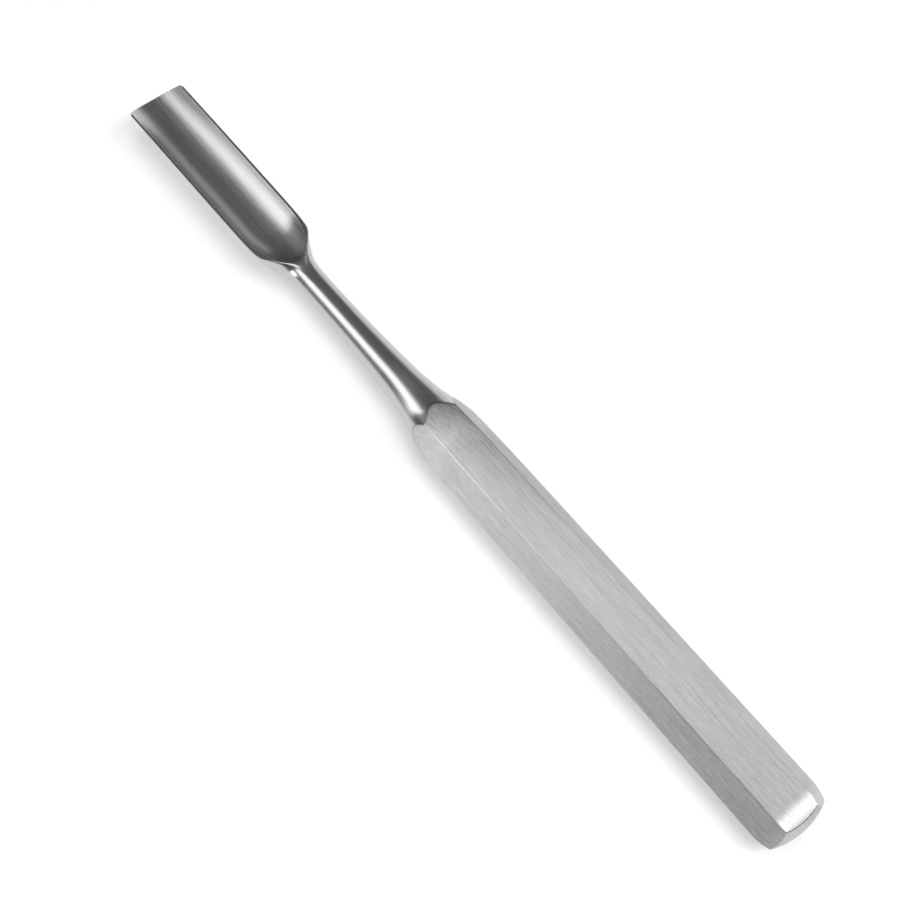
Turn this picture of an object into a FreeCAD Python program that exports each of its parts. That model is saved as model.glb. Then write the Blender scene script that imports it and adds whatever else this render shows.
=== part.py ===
import FreeCAD, Part
import math
import os
import Sketcher

# A one-piece surgical bone gouge: a half-round blade with a scooped channel, a slim
# round neck and a flattened hexagonal handle with a domed butt.
#
# Both bodies are drawn along the tool's own axis: x = 0 at the front of the cutting
# edge and growing toward the butt, z = 0 on the axis of the neck.  They are then set
# down so that the handle's lower facet lies on z = 0 and the middle of the length is
# over the origin.

V = FreeCAD.Vector
Constraint = Sketcher.Constraint

SIZES = {
    "OverallLength": 205.0,
    # handle: a flattened hexagon
    "HandleStart": 103.2,        # where the upper facet runs out into the neck
    "HandleWidth": 14.9,
    "HandleHeight": 9.7,
    "FacetWidth": 7.9,           # width of the upper and the lower facet
    "TaperLength": 48.8,         # the facets ease in toward the neck over this stretch
    "RollLength": 5.2,           # the facets roll over before the butt
    "RollRadius": 10.0,
    "DomeWideRadius": 16.0,      # butt dome seen from above
    "DomeHighRadius": 7.4,       # butt dome seen from the side
    # round neck: thinnest where the shoulder ends
    "WaistRadius": 3.16,
    "NeckSweepRadius": 421.0,    # how slowly it swells toward the handle
    "FlareLength": 13.2,
    # blade
    "ShoulderX": 51.8,           # the blade starts to round in toward the neck
    "ShoulderLength": 13.0,
    "BladeWidth": 13.7,
    "TipKeel": 1.45,             # underside below the axis at the tip
    "RimTip": 3.75,              # rim over the axis at the tip
    "RimShoulder": 3.30,         # rim over the axis at the shoulder
    # channel: cut around a line above the blade
    "ChannelAxis": 8.73,
    "ChannelRadius": 8.14,
    "ScoopStart": 45.8,
    "ScoopRadius": 29.0,
    # cutting edge
    "EdgeSetBack": 2.45,         # corners of the edge behind its middle
    "EdgeLand": 0.12,
    "EdgeRound": 0.32,           # how far the bevel takes off the two corners
    "BevelSlope": 0.40,
}

# Facets near the neck: (distance behind HandleStart, side corners, facet edges), the
# last two as shares of the even handle.
TAPER = [
    (-3.5, 0.888, 0.835), (3.0, 0.950, 0.920), (10.0, 0.980, 0.963),
    (19.0, 0.993, 0.987), (31.0, 0.998, 0.997), (48.8, 1.0, 1.0),
]
# Shoulder: (distance behind ShoulderX, share of the way from waist to blade radius).
SHOULDER = [
    (-6.8, 0.960), (-4.8, 0.947), (-2.8, 0.924), (-1.0, 0.885), (0.8, 0.785), (2.4, 0.540),
    (4.0, 0.308), (5.6, 0.135), (7.2, 0.047), (9.0, 0.012), (11.0, 0.001),
]
# Flare into the handle: (distance from HandleStart, half width, half height), the last
# two over the waist radius.
FLARE = [
    (-10.7, 0.92, 0.84), (-8.2, 1.17, 0.92), (-5.7, 1.51, 1.02), (-3.2, 1.94, 1.19),
    (-1.2, 2.42, 1.46), (0.8, 3.02, 1.94), (2.8, 3.65, 2.76), (4.8, 4.25, 3.80),
    (6.8, 4.80, 4.60),
]

doc = FreeCAD.newDocument("BoneGouge")
sheet = doc.addObject("Spreadsheet::Sheet", "Sizes")
for row, (name, value) in enumerate(SIZES.items(), start=1):
    sheet.set("A%d" % row, name)
    sheet.set("B%d" % row, str(value))
    sheet.setAlias("B%d" % row, name)
doc.recompute()


def new_body(name):
    body = doc.addObject("PartDesign::Body", name)
    body.Label = name
    body.setExpression("Placement.Base.x", "-Sizes.OverallLength / 2")
    body.setExpression("Placement.Base.z", "Sizes.HandleHeight / 2")
    return body


def new_sketch(body, role, name):
    plane = next(p for p in body.Origin.OriginFeatures if p.Role == role)
    sketch = body.newObject("Sketcher::SketchObject", name)
    sketch.AttachmentSupport = (plane, [""])
    sketch.MapMode = "FlatFace"
    sketch.Visibility = False
    return sketch


def cross_section(body, name, station):
    """A sketch standing across the axis at the given station."""
    sketch = new_sketch(body, "YZ_Plane", name)
    sketch.setExpression("AttachmentOffset.Base.z", station)
    return sketch


def add(sketch, *parts):
    return sketch.addConstraint(Constraint(*parts))


def drive(sketch, expression, *parts):
    """Adds a dimension and ties it to the sheet."""
    index = add(sketch, *parts)
    sketch.setExpression("Constraints[%d]" % index, expression)


def outline(sketch, points):
    """Closed outline of straight lines, each line starting at its own point."""
    count = len(points)
    for i in range(count):
        a, b = points[i], points[(i + 1) % count]
        sketch.addGeometry(Part.LineSegment(V(a[0], a[1], 0), V(b[0], b[1], 0)))
    for i in range(count):
        add(sketch, "Coincident", i, 2, (i + 1) % count, 1)


def circle_section(body, name, station, radius, centre):
    """Circle on the middle plane with its centre at the given height."""
    sketch = cross_section(body, name, station)
    sketch.addGeometry(Part.Circle(V(0, 1, 0), V(0, 0, 1), 3.0))
    add(sketch, "PointOnObject", 0, 3, -2)
    drive(sketch, radius, "Radius", 0, 3.0)
    drive(sketch, centre, "DistanceY", -1, 1, 0, 3, 1.0)
    return sketch


def oval_section(body, name, station, half_width, half_height, tall=False):
    """Ellipse about the axis; tall says which way its long axis goes."""
    sketch = cross_section(body, name, station)
    if tall:
        sketch.addGeometry(Part.Ellipse(V(0, 6, 0), V(-5, 0, 0), V(0, 0, 0)))
    else:
        sketch.addGeometry(Part.Ellipse(V(6, 0, 0), V(0, 5, 0), V(0, 0, 0)))
    sketch.exposeInternalGeometry(0)
    add(sketch, "Coincident", 0, 3, -1, 1)
    add(sketch, "Vertical" if tall else "Horizontal", 1)
    long_half, short_half = (half_height, half_width) if tall else (half_width, half_height)
    drive(sketch, "2 * (%s)" % long_half, "Distance", 1, 12.0)
    drive(sketch, "2 * (%s)" % short_half, "Distance", 2, 10.0)
    return sketch


def hexagon_section(body, name, station, width, facet, height):
    """Flattened hexagon: flat above and below, one corner at each side."""
    sketch = cross_section(body, name, station)
    outline(sketch, [(7, 0), (4, 5), (-4, 5), (-7, 0), (-4, -5), (4, -5)])
    add(sketch, "Symmetric", 0, 1, 3, 1, -1, 1)
    add(sketch, "PointOnObject", 0, 1, -1)
    add(sketch, "Symmetric", 1, 1, 1, 2, -2)
    add(sketch, "Symmetric", 4, 1, 4, 2, -2)
    add(sketch, "Symmetric", 1, 1, 4, 2, -1)
    drive(sketch, width, "DistanceX", 3, 1, 0, 1, 14.0)
    drive(sketch, facet, "DistanceX", 1, 2, 1, 1, 8.0)
    drive(sketch, height, "DistanceY", 4, 2, 1, 1, 10.0)
    return sketch


def loft(body, name, sketches, straight=False):
    feature = body.newObject("PartDesign::AdditiveLoft", name)
    feature.Profile = (sketches[0], [""])
    feature.Sections = [(s, [""]) for s in sketches[1:]]
    feature.Ruled = straight
    return feature


def pad(body, name, sketch, length, both_ways=False):
    feature = body.newObject("PartDesign::Pad", name)
    feature.Profile = (sketch, [""])
    feature.Midplane = both_ways
    feature.setExpression("Length", length)
    return feature


def check_cut(body, make, name):
    """Makes a cutting feature and makes sure that it took metal away."""
    doc.recompute()
    before = body.Shape.Volume
    make()
    doc.recompute()
    taken = before - body.Shape.Volume
    if taken <= 0:
        raise RuntimeError("%s cut nothing" % name)
    print("%s takes %.1f mm3" % (name, taken))


# The stock: the hexagonal bar, left larger than the blade ahead of the handle.
stock = new_body("Stock")

# The cutting edge lies in a plane that leans forward at the bottom, so the middle of
# the edge leads.  The bevel widens back from it around the line of the channel.
LEAN = "atan(Sizes.EdgeSetBack / (Sizes.RimTip - Sizes.ChannelAxis + Sizes.ChannelRadius))"
EDGE_RADIUS = "(Sizes.ChannelRadius + Sizes.EdgeLand)"
BEVEL_RUN = 20.0


def bevel_section(name, behind):
    widen = "Sizes.BevelSlope * %.1f" % behind
    sketch = oval_section(
        stock, name, "%s * tan(%s) + %.1f" % (EDGE_RADIUS, LEAN, behind),
        "Sizes.ChannelRadius - Sizes.EdgeRound + %s" % widen,
        "(%s + %s) / cos(%s)" % (EDGE_RADIUS, widen, LEAN), tall=True)
    sketch.AttachmentOffset = FreeCAD.Placement(V(), FreeCAD.Rotation(V(1, 0, 0), 38))
    sketch.setExpression("AttachmentOffset.Rotation.Angle", LEAN)
    sketch.setExpression("AttachmentOffset.Base.y", "Sizes.ChannelAxis")
    return sketch


loft(stock, "Bevel", [bevel_section("EdgeOval", 0.0), bevel_section("BevelOval", BEVEL_RUN)],
     straight=True)

FRONT_SHORT = 2.6               # the larger bar ends this far ahead of the handle
front = new_sketch(stock, "XY_Plane", "FrontOutline")
outline(front, [(14, -12), (101, -12), (101, 12), (14, 12)])
for line in (0, 2):
    add(front, "Horizontal", line)
add(front, "Vertical", 3)
add(front, "Symmetric", 1, 1, 1, 2, -1)
drive(front, "2 * Sizes.BladeWidth", "DistanceY", 1, 10.0)
drive(front, "%.1f" % (0.7 * BEVEL_RUN), "DistanceX", -1, 1, 3, 2, 14.0)
drive(front, "Sizes.HandleStart - %.1f" % FRONT_SHORT, "DistanceX", -1, 1, 1, 1, 101.0)
pad(stock, "FrontStock", front, "3 * Sizes.HandleHeight", both_ways=True)

tapered = []
for i, (behind, sides, flats) in enumerate(TAPER, start=1):
    tapered.append(hexagon_section(
        stock, "TaperSection%d" % i,
        "Sizes.HandleStart + Sizes.TaperLength * %.4f" % (behind / TAPER[-1][0]),
        "Sizes.HandleWidth * %.3f" % sides, "Sizes.FacetWidth * %.3f" % flats,
        "Sizes.HandleHeight"))
loft(stock, "TaperedFacets", tapered)

even = hexagon_section(
    stock, "EvenSection", "Sizes.HandleStart + Sizes.TaperLength",
    "Sizes.HandleWidth", "Sizes.FacetWidth", "Sizes.HandleHeight")
ROLL_LEAD = 1.5
pad(stock, "EvenFacets", even,
    "Sizes.OverallLength - Sizes.RollLength - %.1f - Sizes.HandleStart - Sizes.TaperLength"
    % ROLL_LEAD)

# Each facet rolls over on a large radius before the dome.  The side corners and the
# facets' edges come in by these shares of what the height loses.
CORNER_SHARE, EDGE_SHARE = 1.1, 0.45
rolled = []
for i, behind in enumerate([-ROLL_LEAD, 0.0, 1.2, 2.4, 3.6, 5.4], start=1):
    inset = "%.3f / Sizes.RollRadius" % (max(behind, 0.0) ** 2 / 2)
    rolled.append(hexagon_section(
        stock, "RollSection%d" % i,
        "Sizes.OverallLength - Sizes.RollLength + %.2f" % behind,
        "Sizes.HandleWidth - %.2f * %s" % (2 * CORNER_SHARE, inset),
        "Sizes.FacetWidth - %.2f * %s" % (2 * EDGE_SHARE, inset),
        "Sizes.HandleHeight - 2 * %s" % inset))
loft(stock, "RolledFacets", rolled)

# The butt is a shallow dome, flatter across the width than through the height: a small
# arc seen from the side, turned about an upright line inside the handle.
crown, wide, high = SIZES["OverallLength"], SIZES["DomeWideRadius"], SIZES["DomeHighRadius"]
BEHIND = 6.0                    # how far the cut reaches behind the crown
REACH = 0.67                    # and above and below the axis, as a share of the height
outside, reach = crown + BEHIND, REACH * SIZES["HandleHeight"]
back = crown - high + math.sqrt(high ** 2 - reach ** 2)
dome = new_sketch(stock, "XZ_Plane", "DomeOutline")
dome.addGeometry(Part.Arc(V(back, -reach, 0), V(crown, 0, 0), V(back, reach, 0)))
for a, b in (((back, reach), (outside, reach)), ((outside, reach), (outside, -reach)),
             ((outside, -reach), (back, -reach))):
    dome.addGeometry(Part.LineSegment(V(a[0], a[1], 0), V(b[0], b[1], 0)))
add(dome, "Coincident", 0, 2, 1, 1)
add(dome, "Coincident", 1, 2, 2, 1)
add(dome, "Coincident", 2, 2, 3, 1)
add(dome, "Coincident", 3, 2, 0, 1)
add(dome, "PointOnObject", 0, 3, -1)
add(dome, "Horizontal", 1)
add(dome, "Horizontal", 3)
add(dome, "Vertical", 2)
add(dome, "Vertical", 0, 1, 0, 2)
drive(dome, "Sizes.DomeHighRadius", "Radius", 0, high)
drive(dome, "Sizes.OverallLength - Sizes.DomeHighRadius", "DistanceX", -1, 1, 0, 3, crown - high)
drive(dome, "Sizes.HandleHeight * %.2f" % REACH, "DistanceY", -1, 1, 1, 1, reach)
drive(dome, "Sizes.OverallLength + %.1f" % BEHIND, "DistanceX", -1, 1, 1, 2, outside)
dome.addGeometry(Part.LineSegment(V(crown - wide, -8, 0), V(crown - wide, 8, 0)), True)
drive(dome, "Sizes.OverallLength - Sizes.DomeWideRadius", "DistanceX", -1, 1, 4, 1, crown - wide)
drive(dome, "1.6 * Sizes.HandleHeight", "DistanceY", 4, 1, 4, 2, 16.0)
add(dome, "Symmetric", 4, 1, 4, 2, -1)


def cut_butt():
    groove = stock.newObject("PartDesign::Groove", "ButtDome")
    groove.Profile = (dome, [""])
    groove.ReferenceAxis = (dome, ["Axis0"])
    groove.Midplane = True
    groove.Angle = 120.0


check_cut(stock, cut_butt, "butt dome")

# The form: blade, shoulder, round neck and the flare into the handle.
form = new_body("Form")

HALF_BLADE = "Sizes.BladeWidth / 2"
SHOULDER_START = "(Sizes.ShoulderX - 8.8)"    # where the blade starts to narrow a little
BLADE_FRONT = "-4"                            # clear of the cutting edge
BLADE_NARROWING = 0.14                        # each side, at the start of the shoulder


def along_blade(at_tip, at_shoulder, station):
    """A height that runs in a straight line from the tip to the shoulder."""
    return "(%s + (%s - %s) * (%s - Sizes.EdgeSetBack) / (Sizes.ShoulderX - Sizes.EdgeSetBack))" % (
        at_tip, at_shoulder, at_tip, station)


def blade_section(name, station, narrowing):
    """Circle through both rims and the keel, the lowest line of the blade."""
    keel = along_blade("Sizes.TipKeel", "Sizes.WaistRadius", station)
    depth = "(%s + %s)" % (along_blade("Sizes.RimTip", "Sizes.RimShoulder", station), keel)
    radius = "((%s - %.2f)^2 + %s^2) / (2 * %s)" % (HALF_BLADE, narrowing, depth, depth)
    return circle_section(form, name, station, radius, "%s - %s" % (radius, keel))


blade_front = blade_section("BladeFront", BLADE_FRONT, 0.0)
blade_back = blade_section("BladeBack", SHOULDER_START, BLADE_NARROWING)
loft(form, "BladeBlank", [blade_front, blade_back], straight=True)

shoulder = [blade_section("ShoulderFirst", SHOULDER_START, BLADE_NARROWING)]
for i, (behind, share) in enumerate(SHOULDER, start=2):
    station = "(Sizes.ShoulderX + Sizes.ShoulderLength * %.4f)" % (behind / SIZES["ShoulderLength"])
    radius = "(Sizes.WaistRadius + (%s - Sizes.WaistRadius) * %.3f)" % (HALF_BLADE, share)
    keel = "Sizes.WaistRadius"
    if behind < 0:
        keel = along_blade("Sizes.TipKeel", "Sizes.WaistRadius", station)
    shoulder.append(circle_section(
        form, "ShoulderSection%d" % i, station, radius, "%s - %s" % (radius, keel)))
WAIST_X = "(Sizes.ShoulderX + Sizes.ShoulderLength)"
shoulder.append(circle_section(form, "WaistSection", WAIST_X, "Sizes.WaistRadius", "0"))
loft(form, "Shoulder", shoulder)

# The neck swells on one long arc.
FLARE_X = "(Sizes.HandleStart - Sizes.FlareLength)"
SWELL = "(Sizes.NeckSweepRadius - sqrt(Sizes.NeckSweepRadius^2 - (%s - %s)^2))" % (
    FLARE_X, WAIST_X)
waist_x = SIZES["ShoulderX"] + SIZES["ShoulderLength"]
flare_x = SIZES["HandleStart"] - SIZES["FlareLength"]
r0, sweep = SIZES["WaistRadius"], SIZES["NeckSweepRadius"]


def neck_radius(x):
    return r0 + sweep - math.sqrt(sweep ** 2 - (x - waist_x) ** 2)


middle = (waist_x + flare_x) / 2
r1 = neck_radius(flare_x)
neck = new_sketch(form, "XY_Plane", "NeckOutline")
neck.addGeometry(Part.Arc(
    V(waist_x, r0, 0), V(middle, neck_radius(middle), 0), V(flare_x, r1, 0)))
for a, b in (((flare_x, r1), (flare_x, 0)), ((flare_x, 0), (waist_x, 0)),
             ((waist_x, 0), (waist_x, r0))):
    neck.addGeometry(Part.LineSegment(V(a[0], a[1], 0), V(b[0], b[1], 0)))
start, end = (1, 2) if neck.Geometry[0].StartPoint.x < neck.Geometry[0].EndPoint.x else (2, 1)
add(neck, "Coincident", 0, end, 1, 1)
add(neck, "Coincident", 1, 2, 2, 1)
add(neck, "Coincident", 2, 2, 3, 1)
add(neck, "Coincident", 3, 2, 0, start)
add(neck, "Vertical", 1)
add(neck, "Vertical", 3)
add(neck, "PointOnObject", 2, 1, -1)
add(neck, "PointOnObject", 2, 2, -1)
drive(neck, WAIST_X, "DistanceX", -1, 1, 3, 2, waist_x)
drive(neck, FLARE_X, "DistanceX", -1, 1, 1, 1, flare_x)
drive(neck, "Sizes.WaistRadius", "DistanceY", -1, 1, 3, 2, r0)
drive(neck, WAIST_X, "DistanceX", -1, 1, 0, 3, waist_x)
drive(neck, "Sizes.NeckSweepRadius", "Radius", 0, sweep)
turned = form.newObject("PartDesign::Revolution", "RoundNeck")
turned.Profile = (neck, [""])
turned.ReferenceAxis = (neck, ["H_Axis"])
turned.Angle = 360.0

flare = [circle_section(form, "FlareFirst", FLARE_X, "Sizes.WaistRadius + %s" % SWELL, "0")]
for i, (offset, wider, higher) in enumerate(FLARE, start=2):
    flare.append(oval_section(
        form, "FlareSection%d" % i, "Sizes.HandleStart + %.2f" % offset,
        "Sizes.WaistRadius + %.3f" % wider, "Sizes.WaistRadius + %.3f" % higher))
loft(form, "Flare", flare)

# Behind the flare only the bar gives the handle its shape.
room = circle_section(
    form, "HandleRoom", "Sizes.HandleStart + %.2f" % FLARE[-1][0], "Sizes.HandleWidth * 0.6", "0")
pad(form, "HandleRoomPad", room, "Sizes.OverallLength - Sizes.HandleStart")

# The rim: one plane over the whole blade, running out on top of the neck.
RIM_END = "(%s - 2.3)" % WAIST_X             # the plane has left the metal by here
AHEAD = 8.0                                   # the cuts start this far ahead of the blade
rim = new_sketch(form, "XZ_Plane", "RimPlane")
rim_x = SIZES["EdgeSetBack"] - AHEAD
outline(rim, [(rim_x, 3.8), (61, 3.2), (61, 22), (rim_x, 22)])
add(rim, "Vertical", 1)
add(rim, "Horizontal", 2)
add(rim, "Vertical", 3)
drive(rim, RIM_END, "DistanceX", -1, 1, 1, 1, 61.0)
drive(rim, "%.1f - Sizes.EdgeSetBack" % AHEAD, "DistanceX", 0, 1, -1, 1, -rim_x)
drive(rim, "3 * Sizes.BladeWidth", "DistanceY", -1, 1, 2, 1, 22.0)
drive(rim, along_blade("Sizes.RimTip", "Sizes.RimShoulder", "(Sizes.EdgeSetBack - %.1f)" % AHEAD),
      "DistanceY", -1, 1, 0, 1, 3.8)
drive(rim, along_blade("Sizes.RimTip", "Sizes.RimShoulder", RIM_END),
      "DistanceY", -1, 1, 1, 1, 3.2)


def cut_rim():
    pocket = form.newObject("PartDesign::Pocket", "RimCut")
    pocket.Profile = (rim, [""])
    pocket.Midplane = True
    pocket.setExpression("Length", "3 * Sizes.BladeWidth")


check_cut(form, cut_rim, "rim plane")

# The channel: a straight run and one long arc that lifts it out on top of the neck.
axis_z, radius, scoop_x, scoop_r = (
    SIZES["ChannelAxis"], SIZES["ChannelRadius"], SIZES["ScoopStart"], SIZES["ScoopRadius"])
end_x = scoop_x + scoop_r / 2
floor = axis_z - radius


def floor_at(x):
    return floor + scoop_r - math.sqrt(scoop_r ** 2 - (x - scoop_x) ** 2)


channel = new_sketch(form, "XZ_Plane", "ChannelOutline")
channel.addGeometry(Part.Arc(
    V(scoop_x, floor, 0), V(scoop_x + 7, floor_at(scoop_x + 7), 0), V(end_x, floor_at(end_x), 0)))
for a, b in (((end_x, floor_at(end_x)), (end_x, axis_z)), ((end_x, axis_z), (-AHEAD, axis_z)),
             ((-AHEAD, axis_z), (-AHEAD, floor)), ((-AHEAD, floor), (scoop_x, floor))):
    channel.addGeometry(Part.LineSegment(V(a[0], a[1], 0), V(b[0], b[1], 0)))
scoop = channel.Geometry[0]
start, end = (1, 2) if scoop.StartPoint.x < scoop.EndPoint.x else (2, 1)
add(channel, "Coincident", 0, end, 1, 1)
add(channel, "Coincident", 1, 2, 2, 1)
add(channel, "Coincident", 2, 2, 3, 1)
add(channel, "Coincident", 3, 2, 4, 1)
add(channel, "Coincident", 4, 2, 0, start)
add(channel, "Vertical", 1)
add(channel, "Horizontal", 2)
add(channel, "Vertical", 3)
add(channel, "Horizontal", 4)
drive(channel, "Sizes.ChannelAxis", "DistanceY", -1, 1, 2, 1, axis_z)
drive(channel, "Sizes.ChannelRadius", "DistanceY", 3, 2, 3, 1, radius)
drive(channel, "%.1f" % AHEAD, "DistanceX", 3, 1, -1, 1, AHEAD)
drive(channel, "Sizes.ScoopStart", "DistanceX", -1, 1, 4, 2, scoop_x)
drive(channel, "Sizes.ScoopStart", "DistanceX", -1, 1, 0, 3, scoop_x)
drive(channel, "Sizes.ScoopRadius", "Radius", 0, scoop_r)
drive(channel, "Sizes.ScoopStart + Sizes.ScoopRadius / 2", "DistanceX", -1, 1, 1, 1, end_x)
channel.addGeometry(Part.LineSegment(V(-AHEAD, axis_z, 0), V(end_x, axis_z, 0)), True)
add(channel, "Coincident", 5, 1, 2, 2)
add(channel, "Coincident", 5, 2, 2, 1)


def cut_channel():
    groove = form.newObject("PartDesign::Groove", "Channel")
    groove.Profile = (channel, [""])
    groove.ReferenceAxis = (channel, ["Axis0"])
    groove.Angle = 360.0


check_cut(form, cut_channel, "channel")

# The gouge is what the stock and the form have in common.
gouge = doc.addObject("Part::MultiCommon", "Gouge")
gouge.Label = "Gouge"
gouge.Shapes = [stock, form]
gouge.Refine = True
doc.recompute()

for obj in doc.Objects:
    if "Invalid" in obj.State or "Error" in obj.State:
        raise RuntimeError("%s: %s" % (obj.Label, obj.State))
    solid = obj.TypeId.startswith(("PartDesign::", "Part::"))
    if solid and (obj.Shape.isNull() or not obj.Shape.isValid()):
        raise RuntimeError("%s has no valid shape" % obj.Label)

os.makedirs("parts", exist_ok=True)
gouge.Shape.exportStep("parts/gouge.step")
print("solids", len(gouge.Shape.Solids), "faces", len(gouge.Shape.Faces))
print("volume %.1f mm3" % gouge.Shape.Volume)
FINENESS = 0.05
points = gouge.Shape.tessellate(FINENESS)[0]
for axis in "xyz":
    places = [getattr(point, axis) for point in points]
    print("%s %.2f..%.2f" % (axis, min(places), max(places)))
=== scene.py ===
# %% [markdown]
# A bone gouge is one bar of stainless steel: a half-round blade, a slim round neck and a flattened
# hexagonal handle that is struck with a mallet.  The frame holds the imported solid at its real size,
# and this file gives it the finish of the real tool.  Everything is in metres in the frame's own
# axes, but the sizes below are written in millimetres, as on a maker's drawing.

# %% The frame and its box
import math

import bpy
import numpy as np
from mathutils import Matrix, Vector


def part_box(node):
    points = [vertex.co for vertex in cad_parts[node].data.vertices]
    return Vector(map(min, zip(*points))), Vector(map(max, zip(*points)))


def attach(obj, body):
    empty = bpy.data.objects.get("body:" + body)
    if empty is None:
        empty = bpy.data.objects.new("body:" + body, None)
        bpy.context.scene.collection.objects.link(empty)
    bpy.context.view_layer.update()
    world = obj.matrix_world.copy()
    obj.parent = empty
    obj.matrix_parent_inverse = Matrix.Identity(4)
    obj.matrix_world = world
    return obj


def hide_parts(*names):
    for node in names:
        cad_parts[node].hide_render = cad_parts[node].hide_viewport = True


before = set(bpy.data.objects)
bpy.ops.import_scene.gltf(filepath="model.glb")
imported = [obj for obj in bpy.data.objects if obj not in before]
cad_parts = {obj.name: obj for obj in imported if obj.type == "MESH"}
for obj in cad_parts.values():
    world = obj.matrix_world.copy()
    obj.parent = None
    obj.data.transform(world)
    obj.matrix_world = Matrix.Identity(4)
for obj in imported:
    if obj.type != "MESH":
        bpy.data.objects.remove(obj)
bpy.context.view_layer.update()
low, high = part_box("gouge")
MM = 0.001
print("the solid measures", [round((b - a) / MM, 2) for a, b in zip(low, high)], "mm")

# %% [markdown]
# The camera comes first, because everything else is judged through it.  The photograph looks down
# at the tool from beyond its butt, a little to one side.  An azimuth and an elevation say which way
# the camera looks, and the lens follows from the focal length, which is 1257 pixels in a picture
# 900 pixels wide.

# %% The camera
AZIMUTH, ELEVATION = math.radians(51.4), math.radians(63.9)
STAND = Vector((92.9, -69.5, 226.0)) * MM
FOCAL_PX, PICTURE_PX = 1257.0, 900.0

towards_camera = Vector((math.sin(AZIMUTH) * math.cos(ELEVATION),
                         -math.cos(AZIMUTH) * math.cos(ELEVATION), math.sin(ELEVATION)))
right = Vector((math.cos(AZIMUTH), math.sin(AZIMUTH), 0.0))
up = towards_camera.cross(right)

camera = bpy.data.objects.new("camera", bpy.data.cameras.new("camera"))
camera.data.sensor_width = 36.0
camera.data.lens = camera.data.sensor_width * FOCAL_PX / PICTURE_PX
camera.data.clip_start = 5 * MM
camera.location = STAND
camera.rotation_euler = Matrix((right, up, towards_camera)).transposed().to_euler()
bpy.context.scene.collection.objects.link(camera)
bpy.context.scene.camera = camera
print("camera at", [round(v / MM, 1) for v in camera.location], "mm, lens", round(camera.data.lens, 1))

# %% [markdown]
# Every node of every tree below is made by one helper.  It makes a node, sets its plain settings
# and joins or fills its inputs, so that a formula reads from top to bottom.

# %% The helper that adds a node
def add(tree, kind, *inputs, out=0, **settings):
    """Adds a node.  An input is a socket to link, a value to fill in, or None to leave alone.
    A kind that is all capitals is the operation of a Math node."""
    if kind.isupper():
        kind, settings["operation"] = "ShaderNodeMath", kind
    node = tree.nodes.new(kind)
    for name, value in settings.items():
        setattr(node, name, value)
    for socket, value in zip([socket for socket in node.inputs if socket.enabled], inputs):
        if isinstance(value, bpy.types.NodeSocket):
            tree.links.new(value, socket)
        elif value is not None:
            socket.default_value = value
    if isinstance(out, str):
        return node.outputs[out]
    return [socket for socket in node.outputs if socket.enabled][out]


def colour(hex_code):
    """An sRGB hex colour as the linear colour that a shader works in."""
    parts = [int(hex_code[i:i + 2], 16) / 255 for i in (1, 3, 5)]
    linear = [p / 12.92 if p <= 0.04045 else ((p + 0.055) / 1.055) ** 2.4 for p in parts]
    return (*linear, 1.0)

# %% [markdown]
# The gouge is a good piece for a rule.  Cut across anywhere, it is a round form, an ellipse, seen
# together with whatever trims it: the flats of the hexagonal bar, the plane of the rims and the
# channel.  It could be cut out with booleans, as the solid was, but they leave razor-sharp edges and
# slivers that shade badly.  So the whole skin is rows across the tool and columns along it.  These
# cells work out the sizes of the section in each row.  x is the distance behind the cutting edge in
# millimetres, and heights are counted from the axis of the neck.

# %% Driving sizes
LENGTH, HANDLE_WIDTH, HANDLE_HEIGHT = [(b - a) / MM for a, b in zip(low, high)]
HANDLE_START, TAPER = 103.2, 48.8  # where the upper flat begins, and how far it widens from there
BAR_AHEAD = 3.5  # the bar is worked out from this far ahead of it
FACET = 7.9  # width of the upper flat
ROLL, ROLL_RADIUS = 5.2, 10.0  # length and radius of the roll-over at the butt
DOME_WIDE, DOME_HIGH = 16.0, 7.4  # radii of the striking face, across it and upright
WAIST, NECK_SWEEP = 3.16, 421.0  # radius of the neck at its waist, and of its long hollow curve
SHOULDER, WAIST_X = 51.8, 64.8  # where the blade rounds in, and where the neck is thinnest
FLARE_X = HANDLE_START - 13.2
HALF_BLADE = 13.7 / 2
KEEL_TIP, RIM_TIP, RIM_BACK = 1.45, 3.75, 3.30  # keel and rims, below and above the neck's axis
CHANNEL_AXIS, CHANNEL = 8.73, 8.14  # height and radius of the line that the channel is cut around
SCOOP, SCOOP_RADIUS = 45.8, 29.0  # where the channel starts to lift out, and on what arc
EDGE_BACK, LAND = 2.45, 0.12  # how far the plane of the edge leans back at the rims, and how blunt it is
BEVEL, EDGE_ROUND = 0.40, 0.32  # slope of the bevel, and how much more it draws the corners back
print("length", round(LENGTH, 1), "mm, blade", 2 * HALF_BLADE, "mm wide, handle",
      round(HANDLE_WIDTH, 1), "by", round(HANDLE_HEIGHT, 1), "mm")


# %% A curve through a few points
def through(points):
    """A smooth curve through a few points: a natural cubic spline."""
    x, y = np.array(points, float).T
    step = np.diff(x)
    rows, sides = np.eye(len(x)), np.zeros(len(x))
    for i in range(1, len(x) - 1):
        rows[i, i - 1:i + 2] = step[i - 1], 2 * (step[i - 1] + step[i]), step[i]
        sides[i] = 6 * ((y[i + 1] - y[i]) / step[i] - (y[i] - y[i - 1]) / step[i - 1])
    bend = np.linalg.solve(rows, sides)

    def at(q):
        q = np.clip(q, x[0], x[-1])
        i = np.clip(np.searchsorted(x, q) - 1, 0, len(x) - 2)
        t, span = q - x[i], step[i]
        slope = (y[i + 1] - y[i]) / span - span * (2 * bend[i] + bend[i + 1]) / 6
        return y[i] + slope * t + bend[i] / 2 * t ** 2 + (bend[i + 1] - bend[i]) / (6 * span) * t ** 3
    return at


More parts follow.
